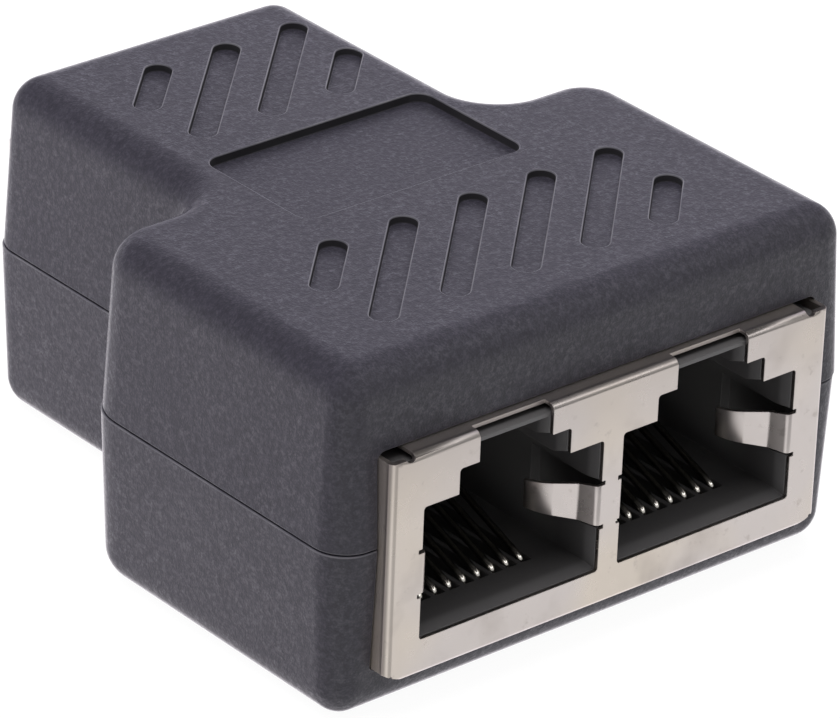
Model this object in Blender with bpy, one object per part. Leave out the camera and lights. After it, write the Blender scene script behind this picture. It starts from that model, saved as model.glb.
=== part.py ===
"""RJ45 splitter adapter: a T-shaped plastic body with two shielded ports side by side at its
wide end and one shielded port at its narrow end.

Metres, +Z up. The origin is under the middle of the body, on the surface that it rests on.
-Y is the wide end with the two ports, +Y the narrow end with one port.
"""

import math

import bmesh
import bpy
from mathutils import Vector

# Ports: the stepped opening of a modular jack, its latch side up
PORT_WIDTH = 0.01258
PORT_WEB = 0.00141  # plate between the two openings
PORT_HEIGHT = 0.00805
STEP_WIDTH = 0.00777
STEP_HEIGHT = 0.00153
LATCH_WIDTH = 0.0051
LATCH_HEIGHT = 0.00183
PORT_FLOOR = 0.0021  # from the shield's lower edge to the opening
PORT_CORNER = 0.0002

# Folded shields
SHEET = 0.00025
BEND_RADIUS = 0.0004
SHIELD_SIDE = 0.002265  # plate beside the outermost opening
JACK_DEPTH = 0.0132
TOP_RELIEF_WIDTH = 0.0016  # top flange's end from the shield's side
TOP_RELIEF_HEIGHT = 0.0002
NOTCH_WIDTH = 0.00062  # round-bottomed notch at each end of the top bend
NOTCH_DEPTH = 0.00038
CORNER_CHAMFER_WIDTH = 0.00145  # lower corners, cut off between the side and lower flanges
CORNER_CHAMFER_HEIGHT = 0.00067
CORNER_HOLE_RADIUS = 0.0001
LATCH_SETBACK = 0.0008  # how far the latch notch cuts back the top flange
SHIELD_WINDOW = 0.003
WINDOW_DEPTH = 0.006  # from the front face to the middle of the window

# Spring tabs at the sides of each opening
TAB_HEIGHT = 0.00245
TAB_TIP_HEIGHT = 0.0017
TAB_CENTRE = 0.00406  # above the opening's lower edge
TAB_RELIEF = 0.00025
TAB_BEND = 48.0  # degrees
TAB_STRAIGHT = 0.0015
TAB_CURL = 0.0027  # length of the curved end

# Jack housings
CAVITY_INSET = 0.00025
BACK_WALL = 0.0016  # behind the cavity
FLOOR_LIP = 0.00035
HOUSING_ROOF = 0.0005
LEAD_IN = 0.0006
LOCATING_POST_RADIUS = 0.001
LOCATING_POST_REACH = 0.00135  # below the shield
LOCATING_POST_INSET = 0.004  # from the shield's side
LOCATING_POST_BACK = 0.005  # in front of the jack's rear end
NUB_HEIGHT = 0.0005
TAB_POCKET_WIDTH = 0.0004  # recess beside each opening that a pressed tab moves into
TAB_POCKET_DEPTH = 0.005

# Contact springs
CONTACT_PITCH = 0.001016
CONTACTS_PER_PORT = 8
CONTACT_RADIUS = 0.0002
CONTACT_RISE = 20.0  # degrees, from the front bend up to the rear
CONTACT_BEND_RADIUS = 0.00047
CONTACT_BEND_DEPTH = 0.0037  # the front bend's centre behind the face
CONTACT_SINK = 0.00087  # the lower run below the cavity's floor
CONTACT_TIP_REACH = 0.0006  # into the comb behind the cavity
CONTACT_GROOVE = 0.00072
TAIL_BEND_RADIUS = 0.0004
TAIL_FIRST_ROW = 0.0013  # behind the housing
TAIL_ROW_PITCH = 0.0013
TAIL_OVERHANG = 0.0005

# Contact carriers and circuit board
CARRIER_SIDE = 0.00094  # carrier beside its outermost contact
CARRIER_DEPTH = 0.0033
CARRIER_HEIGHT = 0.005
CARRIER_STEP = 0.0018
BOARD_THICKNESS = 0.001
BOARD_DROP = 0.00075  # board's top below the contacts' lower run
BOARD_GAP = 0.0005
BOARD_LENGTH = 0.01607
BOARD_WIDE_LENGTH = 0.00763
BOARD_EDGE = 0.0008  # board left beside a post's hole
TAIL_HOLE_RADIUS = 0.00035

# Shells
WALL = 0.0015
SIDE_MARGIN = 0.00283  # wide block beyond the dual shield, at the parting line
NARROW_MARGIN = 0.002045
FLOOR_MARGIN = 0.00249
ROOF_MARGIN = 0.0049
SHIELD_PROUD = 0.00093
DRAFT = 2.75  # degrees
EDGE_ROUND = 0.002
FRONT_CORNER = 0.0024
SHOULDER_CORNER = 0.0034
SHOULDER_FILLET = 0.0024
REAR_CORNER = 0.0023
LOWER_PROUD = 0.00006  # lower shell beyond the upper one
OPENING_CORNER = 0.0008
SEAM = 0.00015
LIP_HEIGHT = 0.001
LIP_THICKNESS = 0.0006
POST_RADIUS = 0.0013
POST_BASE_RADIUS = 0.002
PIN_RADIUS = 0.0008
PIN_HEIGHT = 0.002
RIB_WIDTH = 0.001

# Recesses in the top
SLOT_WIDTH = 0.00158
SLOT_LENGTH = 0.01265
SHORT_SLOT_LENGTH = 0.0062
SLOT_PITCH = 0.00494
SLOT_DEPTH = 0.00045
SLOT_ANGLE = 45.0  # degrees
FRONT_SLOTS = 6
REAR_SLOTS = 4
FRONT_SLOT_DEPTH = 0.0101  # front row's middle behind the shield's face
REAR_SLOT_SHIFT = 0.001
SLOT_GAP = 0.00241  # between the front row and the pocket
REAR_SLOT_GAP = 0.00217
POCKET_SHIFT = 0.00015
POCKET_WIDTH = 0.01574
POCKET_LENGTH = 0.00917
POCKET_DEPTH = 0.00055
POCKET_CORNER = 0.0015

FIT_GAP = 0.0003  # between pieces that seat on each other

# Worked out from the sizes above
PORT_PITCH = PORT_WIDTH + PORT_WEB
CAVITY_DEPTH = JACK_DEPTH - BACK_WALL
CONTACT_TIP_DEPTH = CAVITY_DEPTH + CONTACT_TIP_REACH
LOCATING_POST_SETBACK = JACK_DEPTH - LOCATING_POST_BACK
CONTACT_SPAN = (CONTACTS_PER_PORT - 1) * CONTACT_PITCH
SHIELD_HEIGHT = PORT_FLOOR + PORT_HEIGHT + STEP_HEIGHT + LATCH_HEIGHT
DUAL_PORTS = (-PORT_PITCH / 2, PORT_PITCH / 2)
SINGLE_PORT = (0.0,)
CAVITY_FLOOR = PORT_FLOOR + FLOOR_LIP
CONTACT_RUN = CAVITY_FLOOR - CONTACT_SINK
BOARD_TOP = CONTACT_RUN - BOARD_DROP
BOARD_BOTTOM = BOARD_TOP - BOARD_THICKNESS
LENGTH = 2 * (JACK_DEPTH + BOARD_GAP) + BOARD_LENGTH
HEIGHT = FLOOR_MARGIN + SHIELD_HEIGHT + ROOF_MARGIN
PARTING = HEIGHT / 2
FACE = -LENGTH / 2
DRAFT_SLOPE = math.tan(math.radians(DRAFT))
SLOT_REACH = (SLOT_WIDTH + (SLOT_LENGTH - SLOT_WIDTH) * math.cos(math.radians(SLOT_ANGLE))) / 2
POCKET_MIDDLE = FRONT_SLOT_DEPTH + SLOT_REACH + SLOT_GAP + POCKET_LENGTH / 2
REAR_SLOT_DEPTH = POCKET_MIDDLE + POCKET_LENGTH / 2 + REAR_SLOT_GAP + SLOT_REACH
INNER_INSET = WALL + PARTING * DRAFT_SLOPE
BOARD_INSET = INNER_INSET + FIT_GAP
BOARD_START = JACK_DEPTH + BOARD_GAP
BOARD_SHOULDER = FACE + BOARD_START + BOARD_WIDE_LENGTH
SHOULDER = BOARD_SHOULDER + BOARD_INSET
CONTACT_CLEARANCE = CONTACT_GROOVE / 2 - CONTACT_RADIUS
POST_BORE = POST_RADIUS + FIT_GAP
LOCATING_BORE = LOCATING_POST_RADIUS + FIT_GAP

# Numbers of facets
ROUND_STEPS = 6
CORNER_STEPS = 5
HOLE_SIDES = 16
WIRE_SIDES = 6


def shield_half_width(ports):
    return ports[-1] + PORT_WIDTH / 2 + SHIELD_SIDE


def clear_scene():
    for thing in list(bpy.data.objects):
        bpy.data.objects.remove(thing, do_unlink=True)


def make_material(name, color, roughness, metallic):
    material = bpy.data.materials.new(name)
    material.use_nodes = True
    shader = material.node_tree.nodes["Principled BSDF"]
    shader.inputs["Base Color"].default_value = (*color, 1.0)
    shader.inputs["Roughness"].default_value = roughness
    shader.inputs["Metallic"].default_value = metallic
    return material


def new_object(name, mesh, material=None):
    thing = bpy.data.objects.new(name, mesh)
    bpy.context.scene.collection.objects.link(thing)
    if material is not None:
        mesh.materials.clear()
        mesh.materials.append(material)
    return thing


def loft(name, *bodies):
    """One mesh of closed bodies, each a list of rings with the same number of points."""
    shape = bmesh.new()
    for rings in bodies:
        loops = [[shape.verts.new(point) for point in ring] for ring in rings]
        for lower, upper in zip(loops, loops[1:]):
            for i in range(len(lower)):
                j = (i + 1) % len(lower)
                shape.faces.new((lower[i], lower[j], upper[j], upper[i]))
        shape.faces.new(reversed(loops[0]))
        shape.faces.new(loops[-1])
    bmesh.ops.recalc_face_normals(shape, faces=shape.faces)
    mesh = bpy.data.meshes.new(name)
    shape.to_mesh(mesh)
    shape.free()
    return mesh


def box(low, high):
    """Rings of a box between two corners."""
    corners = ((low[0], low[1]), (high[0], low[1]), (high[0], high[1]), (low[0], high[1]))
    return [[(x, y, z) for x, y in corners] for z in (low[2], high[2])]


def along_x(outline, low, high):
    return [[(x, y, z) for y, z in outline] for x in (low, high)]


def along_y(outline, low, high):
    return [[(x, y, z) for x, z in outline] for y in (low, high)]


def along_z(outline, low, high):
    return [[(x, y, z) for x, y in outline] for z in (low, high)]


def arc(centre, radius, start, end, steps):
    """Points of an arc in a plane, its angles in degrees."""
    angles = [math.radians(start + (end - start) * i / steps) for i in range(steps + 1)]
    return [(centre[0] + radius * math.cos(a), centre[1] + radius * math.sin(a)) for a in angles]


def circle(centre, radius, sides=HOLE_SIDES):
    return arc(centre, radius, 0, 360 - 360 / sides, sides - 1)


def rounded_rectangle(centre, width, depth, radius):
    x, y = width / 2 - radius, depth / 2 - radius
    corners = ((x, y, 0), (-x, y, 90), (-x, -y, 180), (x, -y, 270))
    points = []
    for cx, cy, start in corners:
        points += arc((centre[0] + cx, centre[1] + cy), radius, start, start + 90, CORNER_STEPS)
    return points


def combine(body, operation, tools):
    """Cuts the tools from the body, joins them to it or keeps what they share, in its mesh."""
    tool = new_object("tool", loft("tool", *tools))
    tool.hide_render = True
    tool.display_type = "WIRE"
    modifier = body.modifiers.new("combine", "BOOLEAN")
    modifier.operation = operation
    modifier.solver = "EXACT"
    modifier.object = tool
    bpy.context.view_layer.update()
    evaluated = body.evaluated_get(bpy.context.evaluated_depsgraph_get())
    result = bpy.data.meshes.new_from_object(evaluated)
    body.modifiers.remove(modifier)
    body.data = result
    bpy.data.objects.remove(tool, do_unlink=True)


def cut(body, *tools):
    combine(body, "DIFFERENCE", tools)


def join(body, *tools):
    for tool in tools:
        combine(body, "UNION", [tool])


# Shells

def body_outline(inset):
    """The body's T-shaped outline seen from above, moved inwards by inset."""
    wide = shield_half_width(DUAL_PORTS) + SIDE_MARGIN - inset
    narrow = shield_half_width(SINGLE_PORT) + NARROW_MARGIN - inset
    front = FACE + SHIELD_PROUD + inset
    rear = -FACE - SHIELD_PROUD - inset
    shoulder = SHOULDER - inset
    least = FIT_GAP / 2
    nose = max(FRONT_CORNER - inset, least)
    hip = max(SHOULDER_CORNER - inset, least)
    fillet = SHOULDER_FILLET + inset
    tail = max(REAR_CORNER - inset, least)
    right = arc((wide - nose, front + nose), nose, -90, 0, CORNER_STEPS)
    right += arc((wide - hip, shoulder - hip), hip, 0, 90, CORNER_STEPS)
    right += arc((narrow + fillet, shoulder + fillet), fillet, 270, 180, CORNER_STEPS)
    right += arc((narrow - tail, rear - tail), tail, 0, 90, CORNER_STEPS)
    left = [(-x, y) for x, y in reversed(right)]
    return right + left


def half_body(top, side):
    """Rings of the solid outer form from the parting line to the top or the bottom."""
    start = PARTING + side * SEAM / 2
    straight = abs(top - PARTING) - EDGE_ROUND
    proud = LOWER_PROUD if side < 0 else 0.0
    levels = [(0.0, 0.0), (straight, straight * DRAFT_SLOPE)]
    for i in range(1, ROUND_STEPS + 1):
        angle = math.radians(90.0 * i / ROUND_STEPS)
        rise = straight + EDGE_ROUND * math.sin(angle)
        levels.append((rise, straight * DRAFT_SLOPE + EDGE_ROUND * (1 - math.cos(angle))))
    rings = []
    for rise, inset in levels:
        z = PARTING + side * rise if rise > 0 else start
        rings.append([(x, y, z) for x, y in body_outline(inset - proud)])
    return rings


def hollow(top, side, past):
    """Rings of the space inside a shell, running past the parting line."""
    depth = abs(top - PARTING) - WALL
    rings = []
    for rise, inset in ((-past, WALL), (0.0, WALL), (depth, WALL + depth * DRAFT_SLOPE)):
        z = PARTING + side * rise
        rings.append([(x, y, z) for x, y in body_outline(inset)])
    return rings


def face_openings():
    """The round-cornered openings that the two shields stand in, one at each end."""
    reach = SHIELD_PROUD + INNER_INSET + FIT_GAP
    centre = (0.0, FLOOR_MARGIN + SHIELD_HEIGHT / 2)
    height = SHIELD_HEIGHT + 2 * FIT_GAP
    openings = []
    for ports, side in ((DUAL_PORTS, 1), (SINGLE_PORT, -1)):
        width = 2 * (shield_half_width(ports) + FIT_GAP)
        outline = rounded_rectangle(centre, width, height, OPENING_CORNER)
        openings.append(along_y(outline, side * (FACE - WALL), side * (FACE + reach)))
    return openings


def post_places():
    """Middles of the four posts that pass through the board and join the shells."""
    wide_x = DUAL_PORTS[-1] + CONTACT_SPAN / 2 + CARRIER_SIDE + POST_BASE_RADIUS
    wide_y = BOARD_SHOULDER - BOARD_WIDE_LENGTH / 2
    narrow_x = shield_half_width(SINGLE_PORT) + NARROW_MARGIN - BOARD_INSET - POST_BORE - BOARD_EDGE
    rear_carrier = -FACE - JACK_DEPTH - FIT_GAP - CARRIER_DEPTH
    narrow_y = (BOARD_SHOULDER + rear_carrier) / 2
    return [(side * x, y) for x, y in ((wide_x, wide_y), (narrow_x, narrow_y)) for side in (-1, 1)]


def locating_places(ports):
    """Middles of a housing's locating posts, in the jack's own frame."""
    x = shield_half_width(ports) - LOCATING_POST_INSET
    return [(-x, LOCATING_POST_SETBACK), (x, LOCATING_POST_SETBACK)]


def slot(centre, length):
    """A round-ended slot cutter in the top, leaning by the slot angle."""
    angle = math.radians(SLOT_ANGLE)
    reach = (length - SLOT_WIDTH) / 2
    along = Vector((math.sin(angle), math.cos(angle))) * reach
    heading = 90 - SLOT_ANGLE
    far = arc(Vector(centre) + along, SLOT_WIDTH / 2, heading - 90, heading + 90, 8)
    near = arc(Vector(centre) - along, SLOT_WIDTH / 2, heading + 90, heading + 270, 8)
    return along_z(far + near, HEIGHT - SLOT_DEPTH, HEIGHT + SLOT_DEPTH)


def slot_row(count, middle):
    """A row of leaning slots whose first and last are short, one high and one low."""
    angle = math.radians(SLOT_ANGLE)
    shift = (SLOT_LENGTH - SHORT_SLOT_LENGTH) / 2
    slots = []
    for i in range(count):
        x = middle[0] + (i - (count - 1) / 2) * SLOT_PITCH
        y = middle[1]
        length = SLOT_LENGTH
        if i in (0, count - 1):
            side = 1 if i == 0 else -1
            x += side * shift * math.sin(angle)
            y += side * shift * math.cos(angle)
            length = SHORT_SLOT_LENGTH
        slots.append(slot((x, y), length))
    return slots


def top_recesses():
    """Cutters for the two rows of slots and for the pocket between them."""
    front = slot_row(FRONT_SLOTS, (0.0, FACE + FRONT_SLOT_DEPTH))
    rear = slot_row(REAR_SLOTS, (REAR_SLOT_SHIFT, FACE + REAR_SLOT_DEPTH))
    middle = (POCKET_SHIFT, FACE + POCKET_MIDDLE)
    outline = rounded_rectangle(middle, POCKET_WIDTH, POCKET_LENGTH, POCKET_CORNER)
    pocket = along_z(outline, HEIGHT - POCKET_DEPTH, HEIGHT + POCKET_DEPTH)
    return front, rear, [pocket]


def jack_ribs(low, high):
    """Ribs between a shell and the two shields, from one height to the other."""
    half = RIB_WIDTH / 2
    start = FACE + SHIELD_PROUD + WALL + RIB_WIDTH
    end = FACE + JACK_DEPTH - RIB_WIDTH
    ribs = [box((x - half, start, low), (x + half, end, high)) for x in DUAL_PORTS]
    ribs.append(box((-half, -end, low), (half, -start, high)))
    return ribs


def pillars(places, radius, low, high):
    return [along_z(circle(place, radius), low, high) for place in places]


def upper_shell(material):
    shell = new_object("upper_shell", loft("upper_shell", half_body(HEIGHT, 1)), material)
    rebate = body_outline(WALL - LIP_THICKNESS - FIT_GAP)
    cut(shell, along_z(rebate, PARTING - LIP_HEIGHT, PARTING + LIP_HEIGHT + FIT_GAP))
    cut(shell, hollow(HEIGHT, 1, LIP_HEIGHT))
    buried = HEIGHT - WALL / 2 - POCKET_DEPTH / 2
    boss_foot = PARTING + LIP_HEIGHT
    join(shell, *jack_ribs(FLOOR_MARGIN + SHIELD_HEIGHT + FIT_GAP, buried))
    join(shell, *pillars(post_places(), POST_BASE_RADIUS, boss_foot, buried))
    socket_top = boss_foot + PIN_HEIGHT + FIT_GAP
    cut(shell, *pillars(post_places(), PIN_RADIUS + FIT_GAP, boss_foot - FIT_GAP, socket_top))
    cut(shell, *face_openings())
    for recesses in top_recesses():
        cut(shell, *recesses)
    return shell


def lower_shell(material):
    shell = new_object("lower_shell", loft("lower_shell", half_body(0.0, -1)), material)
    lip = body_outline(WALL - LIP_THICKNESS)
    join(shell, along_z(lip, PARTING - LIP_HEIGHT, PARTING + LIP_HEIGHT))
    cut(shell, hollow(0.0, -1, 2 * LIP_HEIGHT))
    buried = WALL / 2
    seat = FLOOR_MARGIN - FIT_GAP
    front_posts = [(x, FACE + y) for x, y in locating_places(DUAL_PORTS)]
    rear_posts = [(x, -FACE - y) for x, y in locating_places(SINGLE_PORT)]
    join(shell, *jack_ribs(buried, seat))
    join(shell, *pillars(front_posts + rear_posts, POST_BASE_RADIUS, buried, seat))
    join(shell, *pillars(post_places(), POST_BASE_RADIUS, buried, FLOOR_MARGIN + BOARD_BOTTOM - FIT_GAP))
    post_top = PARTING + LIP_HEIGHT - FIT_GAP
    join(shell, *pillars(post_places(), POST_RADIUS, buried, post_top))
    join(shell, *pillars(post_places(), PIN_RADIUS, post_top - PIN_HEIGHT, post_top + PIN_HEIGHT))
    pocket_floor = FLOOR_MARGIN - LOCATING_POST_REACH - FIT_GAP
    cut(shell, *pillars(front_posts + rear_posts, LOCATING_BORE, pocket_floor, FLOOR_MARGIN))
    cut(shell, *face_openings())
    return shell


# Jacks, in their own frame: the face at y = 0, y into the body, z = 0 under the shield

def place_in_jack(piece, is_rear):
    piece.location = (0.0, -FACE if is_rear else FACE, FLOOR_MARGIN)
    piece.rotation_euler = (0.0, 0.0, math.pi if is_rear else 0.0)
    return piece


def port_outline(x, inset, floor, top):
    """The stepped outline of one port, shrunk by inset, as x and z points."""
    half = PORT_WIDTH / 2 - inset
    step = STEP_WIDTH / 2 - inset
    latch = LATCH_WIDTH / 2 - inset
    shoulder = PORT_FLOOR + PORT_HEIGHT - inset
    ledge = shoulder + STEP_HEIGHT
    right = [(half, floor), (half, shoulder), (step, shoulder)]
    right += [(step, ledge), (latch, ledge), (latch, top)]
    left = [(-a, b) for a, b in reversed(right)]
    return [(x + a, b) for a, b in right + left]


def round_corner(outline, i):
    """Three points in place of an outline's corner."""
    corner = Vector(outline[i])
    before = (Vector(outline[i - 1]) - corner).normalized() * PORT_CORNER
    after = (Vector(outline[(i + 1) % len(outline)]) - corner).normalized() * PORT_CORNER
    middle = corner + (before + after) * (1 - math.sqrt(0.5))
    return [tuple(corner + before), tuple(middle), tuple(corner + after)]


def shield_opening(x):
    """The port's outline with a relief cut above and below each spring tab."""
    sharp = port_outline(x, 0.0, PORT_FLOOR, SHIELD_HEIGHT + BEND_RADIUS)
    outline = []
    for i, point in enumerate(sharp):
        outline += round_corner(sharp, i) if i in (0, 1, 3, 8, 10, 11) else [point]
    half = PORT_WIDTH / 2
    tab_low = PORT_FLOOR + TAB_CENTRE - TAB_HEIGHT / 2
    tab_high = tab_low + TAB_HEIGHT
    reliefs = []
    for low, high in ((tab_low - TAB_RELIEF, tab_low), (tab_high, tab_high + TAB_RELIEF)):
        reliefs += [(half, low), (half + TAB_RELIEF, low), (half + TAB_RELIEF, high), (half, high)]
    right = [(x + a, b) for a, b in reliefs]
    left = [(x - a, b) for a, b in reversed(reliefs)]
    return outline[:3] + right + outline[3:-3] + left + outline[-3:]


def bent_box(half, low, high, front, rear, radius):
    """Rings of a box whose front edges are rounded, as a sheet is at its bends."""
    levels = []
    for i in range(ROUND_STEPS // 2 + 1):
        angle = math.radians(90.0 * i / (ROUND_STEPS // 2))
        levels.append((radius * (1 - math.sin(angle)), front + radius * (1 - math.cos(angle))))
    levels.append((0.0, rear))
    rings = []
    for inset, y in levels:
        x, bottom, top = half - inset, low + inset, high - inset
        rings.append([(-x, y, bottom), (x, y, bottom), (x, y, top), (-x, y, top)])
    return rings


def tab_path():
    """Steps of a spring tab: its reach into the port, depth, heading and share of its length."""
    bend_steps, curl_steps = 4, 6
    bend_move = BEND_RADIUS * math.radians(TAB_BEND) / bend_steps
    moves = [(bend_move, TAB_BEND / bend_steps)] * bend_steps
    moves.append((TAB_STRAIGHT, 0.0))
    moves += [(TAB_CURL / curl_steps, (90.0 - TAB_BEND) / curl_steps)] * curl_steps
    length = sum(move for move, turn in moves)
    reach, depth, heading, gone = 0.0, 0.0, 0.0, 0.0
    path = []
    for move, turn in moves:
        middle = math.radians(heading + turn / 2)
        reach += move * math.cos(middle)
        depth += move * math.sin(middle)
        heading += turn
        gone += move
        path.append((reach, depth, math.radians(heading), gone / length))
    return path


def grow_tab(shape, root, edge, side, middle):
    """Draws a spring tab out of the opening's side, bending and narrowing on its way."""
    section = [(vert.co.y - SHEET / 2, vert.co.z - middle) for vert in root.verts]
    ring = list(root.verts)
    shape.faces.remove(root)
    for reach, depth, heading, share in tab_path():
        narrow = 1 + (TAB_TIP_HEIGHT / TAB_HEIGHT - 1) * share
        grown = []
        for across, up in section:
            x = edge - side * (reach - across * math.sin(heading))
            y = SHEET / 2 + depth + across * math.cos(heading)
            grown.append(shape.verts.new((x, y, middle + up * narrow)))
        for i in range(len(ring)):
            j = (i + 1) % len(ring)
            shape.faces.new((ring[i], ring[j], grown[j], grown[i]))
        ring = grown
    shape.faces.new(ring)


def add_spring_tabs(shield, ports):
    shape = bmesh.new()
    shape.from_mesh(shield.data)
    middle = PORT_FLOOR + TAB_CENTRE
    for port in ports:
        for side in (-1, 1):
            edge = port + side * PORT_WIDTH / 2
            spot = Vector((edge, SHEET / 2, middle))
            root = min(shape.faces, key=lambda face: (face.calc_center_median() - spot).length)
            grow_tab(shape, root, edge, side, middle)
    bmesh.ops.recalc_face_normals(shape, faces=shape.faces)
    shape.to_mesh(shield.data)
    shape.free()


def corner_reliefs(side, half, behind):
    """Cutters for the shield's upper and lower corners on one side."""
    top_end = half - TOP_RELIEF_WIDTH
    outer = half + BEND_RADIUS
    above = SHIELD_HEIGHT + BEND_RADIUS
    gap = [(top_end, SHIELD_HEIGHT - TOP_RELIEF_HEIGHT), (outer, SHIELD_HEIGHT - TOP_RELIEF_HEIGHT)]
    gap += [(outer, above), (top_end, above)]
    radius = NOTCH_WIDTH / 2
    notch = arc((top_end + radius, SHIELD_HEIGHT - NOTCH_DEPTH + radius), radius, 180, 360, 6)
    notch += [(top_end + NOTCH_WIDTH, above), (top_end, above)]
    slope = CORNER_CHAMFER_HEIGHT / CORNER_CHAMFER_WIDTH
    past = CORNER_CHAMFER_WIDTH
    chamfer = [(half - 2 * past, -slope * past), (half + past, -slope * past), (half + past, 2 * slope * past)]
    hole_height = slope * (CORNER_CHAMFER_WIDTH - BEND_RADIUS)
    hole = circle((half - BEND_RADIUS, hole_height), CORNER_HOLE_RADIUS, 8)
    cutters = []
    for outline, far in ((gap, behind), (notch, 2 * SHEET), (chamfer, behind), (hole, 2 * SHEET)):
        cutters.append(along_y([(side * x, z) for x, z in outline], -BEND_RADIUS, far))
    return cutters


def jack_shield(name, ports, material):
    """One folded sheet: a front plate with the openings and four flanges bent back from it."""
    half = shield_half_width(ports)
    outside = bent_box(half, 0.0, SHIELD_HEIGHT, 0.0, JACK_DEPTH, BEND_RADIUS)
    shield = new_object(name, loft(name, outside), material)
    behind = JACK_DEPTH + BEND_RADIUS
    inside = bent_box(half - SHEET, SHEET, SHIELD_HEIGHT - SHEET, SHEET, behind, BEND_RADIUS - SHEET)
    cut(shield, inside)
    for side in (-1, 1):
        for relief in corner_reliefs(side, half, behind):
            cut(shield, relief)
    cut(shield, *[along_y(shield_opening(x), -BEND_RADIUS, LATCH_SETBACK) for x in ports])
    window = SHIELD_WINDOW / 2
    middle = SHIELD_HEIGHT / 2
    reach = half + BEND_RADIUS
    windows = []
    for low, high in ((-reach, -half + 2 * SHEET), (half - 2 * SHEET, reach)):
        near, far = WINDOW_DEPTH - window, WINDOW_DEPTH + window
        windows.append(box((low, near, middle - window), (high, far, middle + window)))
    cut(shield, *windows)
    cut(shield, *pillars(locating_places(ports), LOCATING_BORE, -BEND_RADIUS, 2 * SHEET))
    add_spring_tabs(shield, ports)
    return shield


def contact_places(port):
    first = port - CONTACT_SPAN / 2
    return [first + i * CONTACT_PITCH for i in range(CONTACTS_PER_PORT)]


def rising_height(depth):
    """Height of a contact spring's rising run at a depth behind the face."""
    rise = math.radians(CONTACT_RISE)
    top_depth = CONTACT_BEND_DEPTH - CONTACT_BEND_RADIUS * math.sin(rise)
    top = CONTACT_RUN + CONTACT_BEND_RADIUS * (1 + math.cos(rise))
    return top + (depth - top_depth) * math.tan(rise)


def jack_housing(name, ports, material):
    """The moulded block behind a shield, with a stepped cavity for each plug."""
    half = shield_half_width(ports) - SHEET - FIT_GAP
    low = SHEET + FIT_GAP
    high = SHIELD_HEIGHT - SHEET - FIT_GAP
    front = SHEET + FIT_GAP
    ceiling = high - HOUSING_ROOF
    housing = new_object(name, loft(name, box((-half, front, low), (half, JACK_DEPTH, high))), material)
    join(housing, *pillars(locating_places(ports), LOCATING_POST_RADIUS, -LOCATING_POST_REACH, 2 * low))
    add_nubs(housing, half)
    cavities = [port_outline(x, CAVITY_INSET, CAVITY_FLOOR, ceiling) for x in ports]
    cut(housing, *[along_y(outline, 0.0, CAVITY_DEPTH) for outline in cavities])
    cut(housing, *[lead_in(x, front, ceiling) for x in ports])
    cut(housing, *[pocket for x in ports for pocket in tab_pockets(x, front)])
    places = [x for port in ports for x in contact_places(port)]
    groove_start = CONTACT_BEND_DEPTH - CONTACT_BEND_RADIUS - CONTACT_RADIUS - FIT_GAP
    groove_floor = CONTACT_RUN - CONTACT_RADIUS - CONTACT_CLEARANCE
    width = CONTACT_GROOVE / 2
    behind = JACK_DEPTH + FIT_GAP
    groove_top = CAVITY_FLOOR + CONTACT_RADIUS
    grooves = [box((x - width, groove_start, groove_floor), (x + width, behind, groove_top)) for x in places]
    cut(housing, *grooves)
    comb_end = CONTACT_TIP_DEPTH + 2 * CONTACT_CLEARANCE
    comb_start = CAVITY_DEPTH - FIT_GAP
    comb_low = rising_height(comb_start) - CONTACT_GROOVE
    comb_high = rising_height(comb_end) + CONTACT_GROOVE
    combs = [box((x - width, comb_start, comb_low), (x + width, comb_end, comb_high)) for x in places]
    cut(housing, *combs)
    return housing


def add_nubs(housing, half):
    """Wedges on the housing's sides that snap into the shield's windows."""
    reach = SHIELD_WINDOW / 2 - FIT_GAP
    middle = SHIELD_HEIGHT / 2
    near, far = WINDOW_DEPTH - reach, WINDOW_DEPTH + reach
    for side in (-1, 1):
        inner = side * (half - NUB_HEIGHT)
        start, end = side * (half + FIT_GAP / 3), side * (half + NUB_HEIGHT)
        wedge = [(inner, near), (start, near), (end, far), (inner, far)]
        join(housing, along_z(wedge, middle - reach, middle + reach))


def lead_in(x, front, ceiling):
    """Rings of the flared mouth of a cavity."""
    rings = []
    for share in (-1.0, 1.2):
        y = front + LEAD_IN * share
        inset = CAVITY_INSET * share
        floor = PORT_FLOOR + FLOOR_LIP * share
        outline = port_outline(x, inset, floor, ceiling + CAVITY_INSET - inset)
        rings.append([(a, y, b) for a, b in outline])
    return rings


def tab_pockets(x, front):
    half = PORT_WIDTH / 2
    low = PORT_FLOOR + TAB_CENTRE - TAB_HEIGHT / 2 - TAB_RELIEF
    high = low + TAB_HEIGHT + 2 * TAB_RELIEF
    near, far = front - FIT_GAP, front + TAB_POCKET_DEPTH
    inner, outer = half - 2 * CAVITY_INSET, half + TAB_POCKET_WIDTH
    return [
        box((x - outer, near, low), (x - inner, far, high)),
        box((x + inner, near, low), (x + outer, far, high)),
    ]


def tail_depth(row):
    return JACK_DEPTH + TAIL_FIRST_ROW + row * TAIL_ROW_PITCH


def contact_path(row):
    """Points of a contact spring from its tail to its free end, as depth and height."""
    tail = tail_depth(row)
    rise = CONTACT_RISE
    path = [(tail, BOARD_BOTTOM - TAIL_OVERHANG)]
    path += arc((tail - TAIL_BEND_RADIUS, CONTACT_RUN - TAIL_BEND_RADIUS), TAIL_BEND_RADIUS, 0, 90, 3)
    front = (CONTACT_BEND_DEPTH, CONTACT_RUN + CONTACT_BEND_RADIUS)
    path += arc(front, CONTACT_BEND_RADIUS, 270, 90 + rise, 7)
    path.append((CONTACT_TIP_DEPTH, rising_height(CONTACT_TIP_DEPTH)))
    return path


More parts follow.
